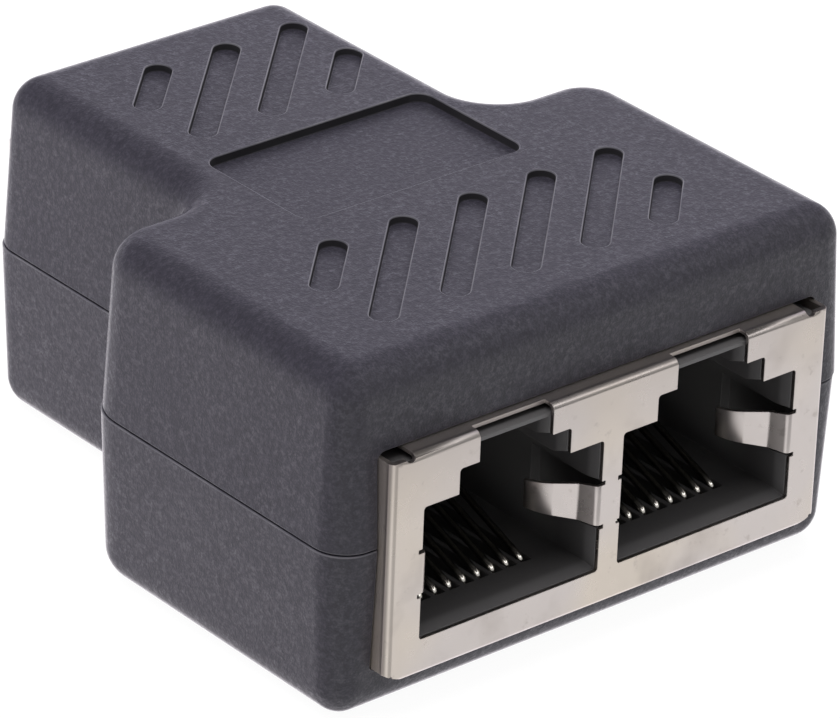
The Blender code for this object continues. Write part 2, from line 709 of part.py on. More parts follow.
def contact_mesh(name, row):
    """A round wire swept along the contact's path, its mesh centred on its own place."""
    path = [Vector(point) for point in contact_path(row)]
    rings = []
    for i, point in enumerate(path):
        before, after = path[max(i - 1, 0)], path[min(i + 1, len(path) - 1)]
        along = (after - before).normalized()
        normal = Vector((-along.y, along.x))
        ring = []
        for x, out in circle((0.0, 0.0), CONTACT_RADIUS, WIRE_SIDES):
            spot = point + normal * out
            ring.append((x, spot.x, spot.y))
        rings.append(ring)
    return loft(name, rings)


def contact_springs(ports, material):
    """Eight springs for each port, their tails in two rows, each its own object."""
    meshes = [contact_mesh("contact_row_%d" % (row + 1), row) for row in (0, 1)]
    for port_name, port, is_rear in ports:
        for i, x in enumerate(contact_places(port)):
            spring = new_object("%s_contact_%d" % (port_name, i + 1), meshes[i % 2], material)
            place_in_jack(spring, is_rear)
            spring.location.x = -x if is_rear else x


def contact_carrier(name, port, is_rear, material):
    """The moulded block that holds a port's contacts over the board."""
    half = CONTACT_SPAN / 2 + CARRIER_SIDE
    near, far = JACK_DEPTH + FIT_GAP, JACK_DEPTH + FIT_GAP + CARRIER_DEPTH
    low = BOARD_TOP + FIT_GAP
    high = low + CARRIER_HEIGHT
    profile = [(near, low), (far, low), (far, high - CARRIER_STEP), (far - CARRIER_STEP, high), (near, high)]
    carrier = new_object(name, loft(name, along_x(profile, port - half, port + half)), material)
    width = CONTACT_GROOVE / 2
    top = CONTACT_RUN + CONTACT_RADIUS + CONTACT_CLEARANCE
    slots = []
    for i, x in enumerate(contact_places(port)):
        end = tail_depth(i % 2) + CONTACT_GROOVE / 2
        slots.append(box((x - width, near - FIT_GAP, low - FIT_GAP), (x + width, end, top)))
    cut(carrier, *slots)
    return place_in_jack(carrier, is_rear)


def circuit_board(ports, material):
    """The board that joins the three ports, shaped to the inside of the shells."""
    low, high = FLOOR_MARGIN + BOARD_BOTTOM, FLOOR_MARGIN + BOARD_TOP
    blank = along_z(body_outline(BOARD_INSET), low, high)
    board = new_object("circuit_board", loft("circuit_board", blank), material)
    reach = HEIGHT
    edge = FACE + BOARD_START
    cut(board, box((-reach, FACE - reach, 0.0), (reach, edge, HEIGHT)))
    cut(board, box((-reach, -edge, 0.0), (reach, -FACE + reach, HEIGHT)))
    through = (low - FIT_GAP, high + FIT_GAP)
    cut(board, *pillars(post_places(), POST_BORE, *through))
    tails = []
    for _, port, is_rear in ports:
        side = -1 if is_rear else 1
        for i, x in enumerate(contact_places(port)):
            tails.append((side * x, side * (FACE + tail_depth(i % 2))))
    cut(board, *[along_z(circle(place, TAIL_HOLE_RADIUS, WIRE_SIDES), *through) for place in tails])
    return board


def main():
    clear_scene()
    shell_plastic = make_material("charcoal_plastic", (0.105, 0.102, 0.12), 0.62, 0.0)
    shield_metal = make_material("nickel_plated_steel", (0.66, 0.62, 0.58), 0.34, 1.0)
    housing_plastic = make_material("black_plastic", (0.012, 0.012, 0.013), 0.45, 0.0)
    carrier_plastic = make_material("carrier_plastic", (0.03, 0.03, 0.032), 0.5, 0.0)
    contact_metal = make_material("gold_plated_bronze", (0.86, 0.68, 0.32), 0.2, 1.0)
    board_laminate = make_material("board_laminate", (0.02, 0.12, 0.05), 0.4, 0.0)
    ports = [("left", DUAL_PORTS[0], False), ("right", DUAL_PORTS[1], False), ("rear", SINGLE_PORT[0], True)]
    upper_shell(shell_plastic)
    lower_shell(shell_plastic)
    place_in_jack(jack_shield("dual_jack_shield", DUAL_PORTS, shield_metal), False)
    place_in_jack(jack_housing("dual_jack_housing", DUAL_PORTS, housing_plastic), False)
    place_in_jack(jack_shield("single_jack_shield", SINGLE_PORT, shield_metal), True)
    place_in_jack(jack_housing("single_jack_housing", SINGLE_PORT, housing_plastic), True)
    for name, port, is_rear in ports:
        contact_carrier("%s_contact_carrier" % name, port, is_rear, carrier_plastic)
    contact_springs(ports, contact_metal)
    circuit_board(ports, board_laminate)


main()
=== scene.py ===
import math

import bmesh
import bpy
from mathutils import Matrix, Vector


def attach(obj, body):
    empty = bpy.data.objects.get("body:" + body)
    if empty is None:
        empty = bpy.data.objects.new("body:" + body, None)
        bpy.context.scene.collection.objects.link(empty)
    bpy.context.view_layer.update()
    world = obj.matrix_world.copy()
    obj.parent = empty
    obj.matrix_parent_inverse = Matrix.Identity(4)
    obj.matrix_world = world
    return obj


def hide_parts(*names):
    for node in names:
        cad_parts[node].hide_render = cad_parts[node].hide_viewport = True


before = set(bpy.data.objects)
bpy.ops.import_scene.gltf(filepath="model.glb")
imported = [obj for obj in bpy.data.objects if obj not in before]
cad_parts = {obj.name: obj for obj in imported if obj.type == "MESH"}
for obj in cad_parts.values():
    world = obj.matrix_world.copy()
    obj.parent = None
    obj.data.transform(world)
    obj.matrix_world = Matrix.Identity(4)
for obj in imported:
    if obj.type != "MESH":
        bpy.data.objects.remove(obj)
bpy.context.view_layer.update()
bpy.ops.object.select_all(action="DESELECT")
print("frame loaded:", len(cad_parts), "nodes")

# Small helpers for modelling

near = 0.00001  # how close a point must be to count as being on a line or plane
same = 0.000001  # points that are closer than this are one point
past = 0.001  # how far a cutter reaches beyond what it cuts
facing = 0.9  # how squarely a face looks along an axis to be counted with it
shading = {"smooth": math.radians(50), "flatWeight": 80}


def makeActive(piece):
    bpy.ops.object.select_all(action="DESELECT")
    piece.select_set(True)
    bpy.context.view_layer.objects.active = piece


def openMesh(piece):
    makeActive(piece)
    bpy.ops.object.mode_set(mode="EDIT")
    bpy.ops.mesh.select_all(action="DESELECT")


def closeMesh():
    bpy.ops.object.mode_set(mode="OBJECT")


def pick(piece, kind, test):
    # selects the vertices, edges or faces of the open mesh that pass the test
    modes = {"verts": "VERT", "edges": "EDGE", "faces": "FACE"}
    bpy.ops.mesh.select_mode(type=modes[kind])
    bpy.ops.mesh.select_all(action="DESELECT")
    mesh = bmesh.from_edit_mesh(piece.data)
    for item in getattr(mesh, kind):
        if test(item):
            item.select_set(True)
    mesh.select_flush_mode()
    bmesh.update_edit_mesh(piece.data)


def mergeDoubles():
    bpy.ops.mesh.select_all(action="SELECT")
    bpy.ops.mesh.remove_doubles(threshold=same)


def applyModifier(piece, kind, **settings):
    makeActive(piece)
    modifier = piece.modifiers.new(kind.lower(), kind)
    for name, value in settings.items():
        setattr(modifier, name, value)
    bpy.ops.object.modifier_apply(modifier=modifier.name)


def settle(piece):
    # puts the object's place, turn and size into its mesh
    makeActive(piece)
    bpy.ops.object.transform_apply(location=True, rotation=True, scale=True)


def copyPiece(name, source):
    piece = bpy.data.objects.new(name, source.data.copy())
    bpy.context.scene.collection.objects.link(piece)
    return piece


def block(name, low, high):
    low, high = Vector(low), Vector(high)
    bpy.ops.mesh.primitive_cube_add(size=1, location=(low + high) / 2)
    piece = bpy.context.object
    piece.name = name
    piece.scale = high - low
    settle(piece)
    return piece


def roundEdges(piece, radius, segments, test):
    openMesh(piece)
    pick(piece, "edges", test)
    bpy.ops.mesh.bevel(offset=radius, offset_type="OFFSET", segments=segments, affect="EDGES")
    closeMesh()


def joinAll(pieces):
    makeActive(pieces[0])
    for piece in pieces:
        piece.select_set(True)
    bpy.ops.object.join()
    return bpy.context.object


def carve(piece, cutter, operation="DIFFERENCE"):
    applyModifier(piece, "BOOLEAN", operation=operation, solver="EXACT", object=cutter)
    bpy.data.objects.remove(cutter, do_unlink=True)


def drill(piece, radius, sides, depth, place, turn=(0, 0, 0)):
    bpy.ops.mesh.primitive_cylinder_add(vertices=sides, radius=radius, depth=depth, location=place,
                                        rotation=turn)
    hole = bpy.context.object
    settle(hole)
    carve(piece, hole)


def soften(piece, edges, slot=-1):
    # a fine round on every sharp edge, with flat faces kept flat in the shading
    # the slot of the rounds has to be there before the bevel, and the recess walls need one more
    for place in range(slot + 2 if slot > 0 else 0):
        piece.data.materials.append(None)
    applyModifier(piece, "BEVEL", width=edges["edge"], segments=edges["edgeSteps"], limit_method="ANGLE",
                  material=slot, angle_limit=math.radians(edges["sharp"]), use_clamp_overlap=False,
                  miter_outer="MITER_ARC")
    makeActive(piece)
    bpy.ops.object.shade_smooth_by_angle(angle=shading["smooth"])
    applyModifier(piece, "WEIGHTED_NORMAL", weight=shading["flatWeight"], keep_sharp=True)


def flatEdge(edge, axis, place):
    return all(abs(vert.co[axis] - place) < near for vert in edge.verts)


def alongAxis(edge, axis):
    step = edge.verts[0].co - edge.verts[1].co
    return abs(abs(step[axis]) - step.length) < same


# Shells

body = {
    "nose": 0.0021,
    "hip": 0.0034,
    "fillet": 0.0024,
    "tail": 0.00235,
    "noseEnd": -0.01,  # the nose's corners lie in front of this, the tail's behind the next
    "tailStart": 0.012,
    "height": 0.0209,
    "parting": 0.01045,
    "seam": 0.00007,
    "wall": 0.0015,
    "roundSteps": 12,
    "cornerSteps": 14,
    "capCorners": 40,  # the cap is the one face with more corners than this
    "straight": 0.01,  # radians, below which two edges are one
    "least": 0.0003,
    "lipInset": 0.0009,
    "lipWall": 0.00056,
    "lipHeight": 0.001,
    "edge": 0.00008,
    "edgeSteps": 2,
    "sharp": 35,
    "edgeSlot": 1,
}

upperForm = {
    "wide": 0.01835,
    "shift": 0.00007,
    "narrow": 0.0106,
    "front": -0.020805,
    "rear": 0.0207,
    "shoulder": 0.001897,
    "draft": math.tan(math.radians(2.9)),
    "round": 0.00206,
    "end": body["height"],
}

lowerForm = {
    "wide": 0.01832,
    "shift": -0.00003,
    "narrow": 0.01067,
    "front": -0.02083,
    "rear": 0.02077,
    "shoulder": 0.00195,
    "draft": math.tan(math.radians(2.4)),
    "round": 0.0019,
    "end": 0.0,
}


def bodyCorners(form, inset):
    # each round corner of the outline, moved inwards: its side, a point test, the middle and the radius
    front, rear, shoulder = form["front"] + inset, form["rear"] - inset, form["shoulder"] - inset
    wide, narrow = form["wide"] - inset, form["narrow"] - inset
    nose, hip, tail = (max(body[size] - inset, body["least"]) for size in ("nose", "hip", "tail"))
    fillet, between = body["fillet"] + inset, (form["wide"] + form["narrow"]) / 2
    ahead, behind = body["noseEnd"], body["tailStart"]
    for side in (-1, 1):
        edge = side * wide + form["shift"]
        inner = side * (narrow + fillet)
        yield side, lambda x, y: y < ahead, (edge - side * nose, front + nose), nose
        yield side, lambda x, y: ahead < y < behind and x > between, (edge - side * hip, shoulder - hip), hip
        yield side, lambda x, y: ahead < y < behind and x < between, (inner, shoulder + fillet), fillet
        yield side, lambda x, y: y > behind, (side * (narrow - tail), rear - tail), tail


def bodyPlate(name, z, form, inset=0.0):
    # the T-shaped outline as one flat face with round corners, moved inwards by inset
    wide, narrow = form["wide"] - inset, form["narrow"] - inset
    front, rear, shoulder = form["front"] + inset, form["rear"] - inset, form["shoulder"] - inset

    def meetsTail(edge):
        return flatEdge(edge, 1, shoulder) and all(abs(vert.co.x) < narrow + near for vert in edge.verts)

    bpy.ops.mesh.primitive_plane_add(size=1, location=(0, 0, 0))
    plate = bpy.context.object
    plate.name = name
    openMesh(plate)
    bpy.ops.mesh.select_all(action="SELECT")
    bpy.ops.transform.resize(value=(2 * wide, shoulder - front, 1))
    bpy.ops.transform.translate(value=(0, (front + shoulder) / 2, z))
    for x in (-narrow, narrow):
        bpy.ops.mesh.select_all(action="SELECT")
        bpy.ops.mesh.bisect(plane_co=(x, 0, 0), plane_no=(1, 0, 0))
    pick(plate, "edges", meetsTail)
    bpy.ops.mesh.extrude_edges_move(TRANSFORM_OT_translate={"value": (0, rear - shoulder, 0)})
    bpy.ops.mesh.select_all(action="SELECT")
    bpy.ops.mesh.dissolve_limited(angle_limit=body["straight"])
    pick(plate, "verts", lambda vert: abs(vert.co.x) > narrow + near)
    bpy.ops.transform.translate(value=(form["shift"], 0, 0))
    for side, test, middle, radius in bodyCorners(form, inset):
        pick(plate, "verts", lambda vert: side * vert.co.x > 0 and test(abs(vert.co.x), vert.co.y))
        bpy.ops.mesh.bevel(offset=radius, offset_type="OFFSET", segments=body["cornerSteps"],
                           affect="VERTICES")
    bpy.ops.mesh.select_mode(type="FACE")
    bpy.ops.mesh.select_all(action="SELECT")
    return plate


def nextRing(shell, form, z, rise, before, after):
    # extrudes the cap and moves each round corner to its new middle and radius
    def isCap(face):
        return abs(face.calc_center_median().z - z) < same and len(face.verts) > body["capCorners"]

    pick(shell, "faces", isCap)
    bpy.ops.mesh.extrude_region_move(TRANSFORM_OT_translate={"value": (0, 0, rise)})
    for old, new in zip(bodyCorners(form, before), bodyCorners(form, after)):
        side, test, middle, radius = old

        def atCorner(vert):
            raised = abs(vert.co.z - z - rise) < same
            return raised and side * vert.co.x > 0 and test(abs(vert.co.x), vert.co.y)

        pick(shell, "verts", atCorner)
        scale = new[3] / radius
        bpy.ops.transform.resize(value=(scale, scale, 1), center_override=(*middle, z + rise))
        bpy.ops.transform.translate(value=(new[2][0] - middle[0], new[2][1] - middle[1], 0))


def closeSolid():
    mergeDoubles()
    bpy.ops.mesh.normals_make_consistent(inside=False)
    closeMesh()


def shellCup(name, form):
    # one shell: drafted walls, a round edge and the flat top or underside, then the space inside
    side = 1 if form["end"] > body["parting"] else -1
    start, radius, steps = body["parting"] + side * body["seam"] / 2, form["round"], body["roundSteps"]
    reach = abs(form["end"] - start) - radius
    shell = bodyPlate(name, start, form)
    place = reach * form["draft"]
    nextRing(shell, form, start, side * reach, 0.0, place)
    z = start + side * reach
    for i in range(steps):
        lower, upper = (math.pi / 2 * step / steps for step in (i, i + 1))
        rise = side * radius * (math.sin(upper) - math.sin(lower))
        after = reach * form["draft"] + radius * (1 - math.cos(upper))
        nextRing(shell, form, z, rise, place, after)
        z, place = z + rise, after
    closeSolid()
    wall, lap = body["wall"], body["lipHeight"]
    deep = abs(form["end"] - start) - wall
    space = bodyPlate("space", start - side * lap, form, wall)
    nextRing(space, form, start - side * lap, side * lap, wall, wall)
    nextRing(space, form, start, side * deep, wall, wall + deep * form["draft"])
    closeSolid()
    carve(shell, space)
    return shell


def shellLip():
    # the ring that stands up inside the parting line
    lip = bodyPlate("lip", body["parting"] - body["lipHeight"], lowerForm, body["lipInset"])
    bpy.ops.mesh.extrude_region_move(TRANSFORM_OT_translate={"value": (0, 0, 2 * body["lipHeight"])})
    pick(lip, "faces", lambda face: abs(face.normal.z) > facing)
    bpy.ops.mesh.delete(type="ONLY_FACE")
    bpy.ops.mesh.select_all(action="SELECT")
    bpy.ops.mesh.normals_make_consistent(inside=False)
    closeMesh()
    applyModifier(lip, "SOLIDIFY", thickness=body["lipWall"], offset=-1, use_even_offset=True)
    return lip


ports = {
    "face": 0.02173,
    "base": 0.00249,
    "pitch": 0.01399,
    "width": 0.01258,
    "height": 0.00805,
    "floor": 0.0021,
    "stepWidth": 0.00777,
    "stepHeight": 0.00153,
    "latchWidth": 0.0051,
    "corner": 0.0002,
    "cornerSteps": 4,
    "dualHalf": 0.01555,
    "singleHalf": 0.008555,
    "shieldHeight": 0.01351,
    "depth": 0.0132,
    "gap": 0.00005,
    "openingCorner": 0.0005,
    "openingSteps": 8,
    "skirt": 0.00012,
    "chamferWidth": 0.00145,
    "chamferHeight": 0.00067,
}


def chamferCutter(half, side, front, back, drop):
    # takes off the lower corner of a shield, or of the opening round it
    wide, high = ports["chamferWidth"], ports["chamferHeight"]
    cutter = block("chamfer", (-3 * past, front, -2 * past), (3 * past, back, 0))
    cutter.rotation_euler.y = -side * math.atan2(high, wide)
    cutter.location = (side * (half - wide / 2), 0, high / 2 - ports["skirt"] - drop)
    settle(cutter)
    return cutter


def cutFaces(shell):
    # the round-cornered openings that the two shields stand in
    gap, drop = ports["gap"], ports["gap"] - ports["base"]
    low, high = ports["base"] - ports["skirt"] - gap, ports["base"] + ports["shieldHeight"] + gap
    inside = -upperForm["front"] - body["wall"] - body["parting"] * upperForm["draft"] - gap
    for half, side in ((ports["dualHalf"], -1), (ports["singleHalf"], 1)):
        y = sorted((side * inside, side * (ports["face"] + past)))
        opening = block("opening", (-half - gap, y[0], low), (half + gap, y[1], high))
        roundEdges(opening, ports["openingCorner"], ports["openingSteps"], lambda edge: alongAxis(edge, 1))
        for corner in (-1, 1):
            carve(opening, chamferCutter(half, corner, y[0] - past, y[1] + past, drop))
        carve(shell, opening)


recesses = {
    "slotWidth": 0.00158,
    "longSlot": 0.01265,
    "shortSlot": 0.0062,
    "pitch": 0.00494,
    "lean": math.radians(45),
    "depth": 0.00045,
    "frontRow": (6, 0.0, -0.011635),
    "rearRow": (4, 0.001, 0.011523),
    "endRound": 0.999,  # the slots' end radius, as a share of half their width
    "endSteps": 12,
    "pocketWidth": 0.01574,
    "pocketLength": 0.00917,
    "pocketX": 0.00015,
    "pocketY": 0.000064,
    "pocketDepth": 0.00055,
    "pocketCorner": 0.001,
    "pocketSteps": 12,
    "reach": (0.0155, 0.018),  # all recesses lie within this of the middle
    "wallBand": (0.001, 0.00012),  # their walls and floors lie between these depths
    "steep": 0.5,  # a wall's normal rises less than this
    "wallSlot": 2,
}


def slotCutter(x, y, length):
    width, depth, top = recesses["slotWidth"], recesses["depth"], body["height"]
    cutter = block("slot", (-width / 2, -length / 2, -depth), (width / 2, length / 2, depth))
    roundEdges(cutter, width / 2 * recesses["endRound"], recesses["endSteps"],
               lambda edge: alongAxis(edge, 2))
    cutter.rotation_euler.z = -recesses["lean"]
    cutter.location = (x, y, top)
    settle(cutter)
    return cutter


def slotRow(count, middleX, middleY):
    # the first slot is short and high, the last short and low
    shift = (recesses["longSlot"] - recesses["shortSlot"]) / 2
    cutters = []
    for i in range(count):
        x, y, length = middleX + (i - (count - 1) / 2) * recesses["pitch"], middleY, recesses["longSlot"]
        if i in (0, count - 1):
            way = 1 if i == 0 else -1
            x += way * shift * math.sin(recesses["lean"])
            y += way * shift * math.cos(recesses["lean"])
            length = recesses["shortSlot"]
        cutters.append(slotCutter(x, y, length))
    return joinAll(cutters)


def pocketCutter():
    half, long, deep = recesses["pocketWidth"] / 2, recesses["pocketLength"] / 2, recesses["pocketDepth"]
    x, y, top = recesses["pocketX"], recesses["pocketY"], body["height"]
    cutter = block("pocket", (x - half, y - long, top - deep), (x + half, y + long, top + deep))
    roundEdges(cutter, recesses["pocketCorner"], recesses["pocketSteps"], lambda edge: alongAxis(edge, 2))
    return cutter


def sortRecessFaces(shell):
    # the recesses have smooth walls, in a material with painted shade, and the rounds along their floors
    # don't get the painted edge highlight
    deep, shallow = (body["height"] - depth for depth in recesses["wallBand"])
    reachX, reachY = recesses["reach"]
    for face in shell.data.polygons:
        if deep < face.center.z < shallow:
            steep = abs(face.normal.z) < recesses["steep"]
            within = abs(face.center.y) < reachY and abs(face.center.x) < reachX
            face.material_index = recesses["wallSlot"] if steep and within else 0


upperShell = shellCup("upperShell", upperForm)
cutFaces(upperShell)
for row in ("frontRow", "rearRow"):
    carve(upperShell, slotRow(*recesses[row]))
carve(upperShell, pocketCutter())
soften(upperShell, body, body["edgeSlot"])
sortRecessFaces(upperShell)
lowerShell = shellCup("lowerShell", lowerForm)
carve(lowerShell, shellLip(), "UNION")
cutFaces(lowerShell)
soften(lowerShell, body, body["edgeSlot"])
print("shells:", len(upperShell.data.polygons), len(lowerShell.data.polygons), "faces")

# Folded shields

sheet = {
    "thick": 0.00025,
    "bend": 0.0004,
    "bendSteps": 6,
    "edge": 0.00003,
    "edgeSteps": 2,
    "sharp": 55,
    "topRelief": 0.0016,
    "topReliefHeight": 0.0002,
    "slotEnd": 0.0003,  # the relief slot stops this short of the side
    "slotDepth": 0.001,
    "notchWidth": 0.00062,
    "notchDepth": 0.00038,
    "notchRound": 0.99,  # the notch's radius, as a share of half its width
    "notchSteps": 6,
    "cornerHole": 0.0001,
    "cornerHoleSides": 16,
    "latchSetback": 0.0008,
    "window": 0.003,
    "windowY": 0.006,
    "postRadius": 0.0013,
    "postSides": 32,
    "postIn": 0.004,
    "postY": 0.0082,
}

tab = {
    "height": 0.00245,
    "tipHeight": 0.0017,
    "middle": 0.00616,
    "relief": 0.00025,
    # each run's length, its turn in degrees and its steps
    "runs": ((0.0003, 66, 8), (0.00085, 0, 1), (0.0002, -20, 4), (0.0012, 0, 1), (0.00175, 32, 12)),
}


def stepRows(x):
    # the three widths of a port's opening: plug, step and latch, each as x, width, low and high
    shoulder = ports["floor"] + ports["height"]
    ledge = shoulder + ports["stepHeight"]
    yield x, ports["width"], ports["floor"], shoulder
    yield x, ports["stepWidth"], ports["floor"] + past, ledge
    yield x, ports["latchWidth"], ports["floor"] + 2 * past, ports["shieldHeight"] + past


def cutPort(shield, x):
    for middle, width, low, high in stepRows(x):
        left, right = middle - width / 2, middle + width / 2
        cutter = block("port", (left, -past, low), (right, sheet["latchSetback"], high))
        roundEdges(cutter, ports["corner"], ports["cornerSteps"], lambda edge: alongAxis(edge, 1))
        carve(shield, cutter)
    half, size = ports["width"] / 2, tab["relief"]
    tabTop, tabFoot = tab["middle"] + tab["height"] / 2, tab["middle"] - tab["height"] / 2
    for side in (-1, 1):
        for z in (tabFoot - size, tabTop):
            edges = sorted((x + side * (half - size), x + side * (half + size)))
            carve(shield, block("relief", (edges[0], -past, z), (edges[1], 2 * sheet["thick"], z + size)))


def cutCorners(shield, half):
    # the top flange's free ends, the notches beside them and the cut lower corners with their holes
    top, far, through = ports["shieldHeight"], ports["depth"] + past, 2 * sheet["thick"]
    over = top + past
    wide, high, bend = ports["chamferWidth"], ports["chamferHeight"], sheet["bend"]
    notchFloor, flangeEnd = top - sheet["notchDepth"], half - sheet["topRelief"]
    for side in (-1, 1):
        edges = sorted((side * flangeEnd, side * (half + past)))
        carve(shield, block("gap", (edges[0], -past, top - sheet["topReliefHeight"]), (edges[1], far, over)))
        edges = sorted((side * flangeEnd, side * (half - sheet["slotEnd"])))
        carve(shield, block("slot", (edges[0], bend, top - sheet["slotDepth"]), (edges[1], far, over)))
        edges = sorted((side * flangeEnd, side * (flangeEnd + sheet["notchWidth"])))
        notch = block("notch", (edges[0], -past, notchFloor), (edges[1], through, over))
        roundEdges(notch, sheet["notchWidth"] / 2 * sheet["notchRound"], sheet["notchSteps"],
                   lambda edge: alongAxis(edge, 1) and flatEdge(edge, 2, notchFloor))
        carve(shield, notch)
        carve(shield, chamferCutter(half, side, -past, far, 0))
        place = (side * (half - bend), 0, high * (1 - bend / wide) - ports["skirt"])
        drill(shield, sheet["cornerHole"], sheet["cornerHoleSides"], 2 * through, place, (math.pi / 2, 0, 0))


def cutFlanges(shield, half):
    # side windows for the housing's nubs, and holes under the shield for its posts
    middle, reach, depth = ports["shieldHeight"] / 2, sheet["window"] / 2, sheet["windowY"]
    for side in (-1, 1):
        edges = sorted((side * (half - past), side * (half + past)))
        low, high = (edges[0], depth - reach, middle - reach), (edges[1], depth + reach, middle + reach)
        carve(shield, block("window", low, high))
        place = (side * (half - sheet["postIn"]), sheet["postY"], 0)
        drill(shield, sheet["postRadius"], sheet["postSides"], 2 * past, place)


def growTab(shield, x, side):
    # extrudes the opening's side face along the tab's runs, each with its length, turn and steps
    root = Vector((x + side * ports["width"] / 2, sheet["thick"] / 2, tab["middle"]))
    turns = [(run / steps, math.radians(turn / steps))
             for run, turn, steps in tab["runs"] for i in range(steps)]
    length = sum(step for step, turn in turns)
    openMesh(shield)
    pick(shield, "faces", lambda face: (face.calc_center_median() - root).length < 10 * near)
    place, heading, gone, height = root, 0.0, 0.0, tab["height"]
    for step, turn in turns:
        middle = heading + turn / 2
        move = Vector((-side * step * math.cos(middle), step * math.sin(middle), 0))
        heading += turn
        gone += step
        place = place + move
        nextHeight = tab["height"] + (tab["tipHeight"] - tab["height"]) * gone / length
        bpy.ops.mesh.extrude_region_move(TRANSFORM_OT_translate={"value": move})
        if turn:
            bpy.ops.transform.rotate(value=side * turn, orient_axis="Z", center_override=place)
        bpy.ops.transform.resize(value=(1, 1, nextHeight / height), center_override=place)
        height = nextHeight
    closeMesh()


def foldedShield(name, half, middles):
    shield = block(name, (-half, 0, -ports["skirt"]), (half, ports["depth"], ports["shieldHeight"]))
    openMesh(shield)
    pick(shield, "faces", lambda face: face.normal.y > facing)
    bpy.ops.mesh.delete(type="FACE")
    closeMesh()
    roundEdges(shield, sheet["bend"], sheet["bendSteps"], lambda edge: flatEdge(edge, 1, 0))
    applyModifier(shield, "SOLIDIFY", thickness=sheet["thick"], offset=-1, use_even_offset=True,
                  use_quality_normals=True)
    for x in middles:
        cutPort(shield, x)
    cutCorners(shield, half)
    cutFlanges(shield, half)
    for x in middles:
        for side in (-1, 1):
            growTab(shield, x, side)
    soften(shield, sheet)
    return shield


def seat(piece, isRear, x=0.0):
    # from the jack's own frame to its place in the body
    piece.rotation_euler.z = math.pi if isRear else 0
    piece.location = (-x if isRear else x, ports["face"] if isRear else -ports["face"], ports["base"])
    settle(piece)


dualShield = foldedShield("dualShield", ports["dualHalf"], (-ports["pitch"] / 2, ports["pitch"] / 2))
seat(dualShield, False)
singleShield = foldedShield("singleShield", ports["singleHalf"], (0,))
seat(singleShield, True)
print("shields:", len(dualShield.data.polygons), len(singleShield.data.polygons), "faces")

# Contact springs

spring = {
    "radius": 0.0002,
    "sides": 14,
    "pitch": 0.001016,
    "count": 8,
    "run": 0.00158,
    "foot": -0.0008,
    "tailBend": 0.0004,
    "tailSteps": 6,
    "tailRows": (0.0145, 0.0158),
    "frontBend": 0.00047,
    "frontSteps": 16,
    "frontDepth": 0.0037,
    "rise": math.radians(20),
    "tipDepth": 0.0122,
}


def contactSpring(name, tailDepth):
    # one round wire: up from the board, forward under the floor, round the front bend and back up
    run, bend, front = spring["run"], spring["tailBend"], spring["frontBend"]
    depth, rise = spring["frontDepth"], spring["rise"]
    length = (spring["tipDepth"] - depth + front * math.sin(rise)) / math.cos(rise)
    slope = Vector((0, math.cos(rise), math.sin(rise))) * length
    bpy.ops.mesh.primitive_circle_add(vertices=spring["sides"], radius=spring["radius"], fill_type="NOTHING",
                                      location=(0, tailDepth, spring["foot"]))
    wire = bpy.context.object
    wire.name = name
    settle(wire)
    openMesh(wire)
    bpy.ops.mesh.select_mode(type="VERT")
    bpy.ops.mesh.select_all(action="SELECT")
    bpy.ops.mesh.extrude_region_move(TRANSFORM_OT_translate={"value": (0, 0, run - bend - spring["foot"])})
    bpy.ops.mesh.spin(steps=spring["tailSteps"], angle=-math.pi / 2, center=(0, tailDepth - bend, run - bend),
                      axis=(1, 0, 0))
    bpy.ops.mesh.extrude_region_move(TRANSFORM_OT_translate={"value": (0, depth - tailDepth + bend, 0)})
    bpy.ops.mesh.spin(steps=spring["frontSteps"], angle=math.pi - rise, center=(0, depth, run + front),
                      axis=(1, 0, 0))
    bpy.ops.mesh.extrude_region_move(TRANSFORM_OT_translate={"value": slope})
    mergeDoubles()
    bpy.ops.mesh.fill_holes(sides=spring["sides"] + 2)
    bpy.ops.mesh.normals_make_consistent(inside=False)
    closeMesh()
    bpy.ops.object.shade_smooth_by_angle(angle=shading["smooth"])
    return wire


patterns = [contactSpring("springPattern", depth) for depth in spring["tailRows"]]
contacts = {}
for port, middle, isRear in (("left", -ports["pitch"] / 2, False), ("right", ports["pitch"] / 2, False),
                             ("rear", 0, True)):
    for i in range(spring["count"]):
        wire = copyPiece(f"{port}Contact{i + 1}", patterns[i % 2])
        seat(wire, isRear, middle + (i - (spring["count"] - 1) / 2) * spring["pitch"])
        contacts[f"{port}_contact_{i + 1}"] = wire
for pattern in patterns:
    bpy.data.objects.remove(pattern, do_unlink=True)
print("contacts:", len(contacts))

# Housings: merged copies of the CAD solids with fine rounds on their edges

housing = {
    "mouth": 0.00057,  # what lies within this of the shield's face is the mouth
    "ahead": 0.00025,  # the mouth moves this far forward, close behind the sheet
    "flat": math.radians(0.5),
    "edge": 0.00004,
    "edgeSteps": 2,
    "sharp": 35,
}


def softCopy(node, name, way):
    piece = copyPiece(name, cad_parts[node])
    openMesh(piece)
    mergeDoubles()
    bpy.ops.mesh.dissolve_limited(angle_limit=housing["flat"])
    pick(piece, "verts", lambda vert: abs(vert.co.y) > ports["face"] - housing["mouth"])
    bpy.ops.transform.translate(value=(0, way * housing["ahead"], 0))
    closeMesh()
    soften(piece, housing)
    return piece


dualHousing = softCopy("dual_jack_housing", "dualHousing", -1)
singleHousing = softCopy("single_jack_housing", "singleHousing", 1)
print("housings:", len(dualHousing.data.polygons), len(singleHousing.data.polygons), "faces")

# Node trees


class Socket:
    # a node's output, so that sums and products are written as such
    def __init__(self, tree, source):
        self.tree = tree
        self.source = source

    def __add__(self, other):
        return self.tree.math("ADD", self, other)

    def __radd__(self, other):
        return self.tree.math("ADD", other, self)

    def __sub__(self, other):
        return self.tree.math("SUBTRACT", self, other)

    def __rsub__(self, other):
        return self.tree.math("SUBTRACT", other, self)

    def __mul__(self, other):
        return self.tree.math("MULTIPLY", self, other)

    def __rmul__(self, other):
        return self.tree.math("MULTIPLY", other, self)


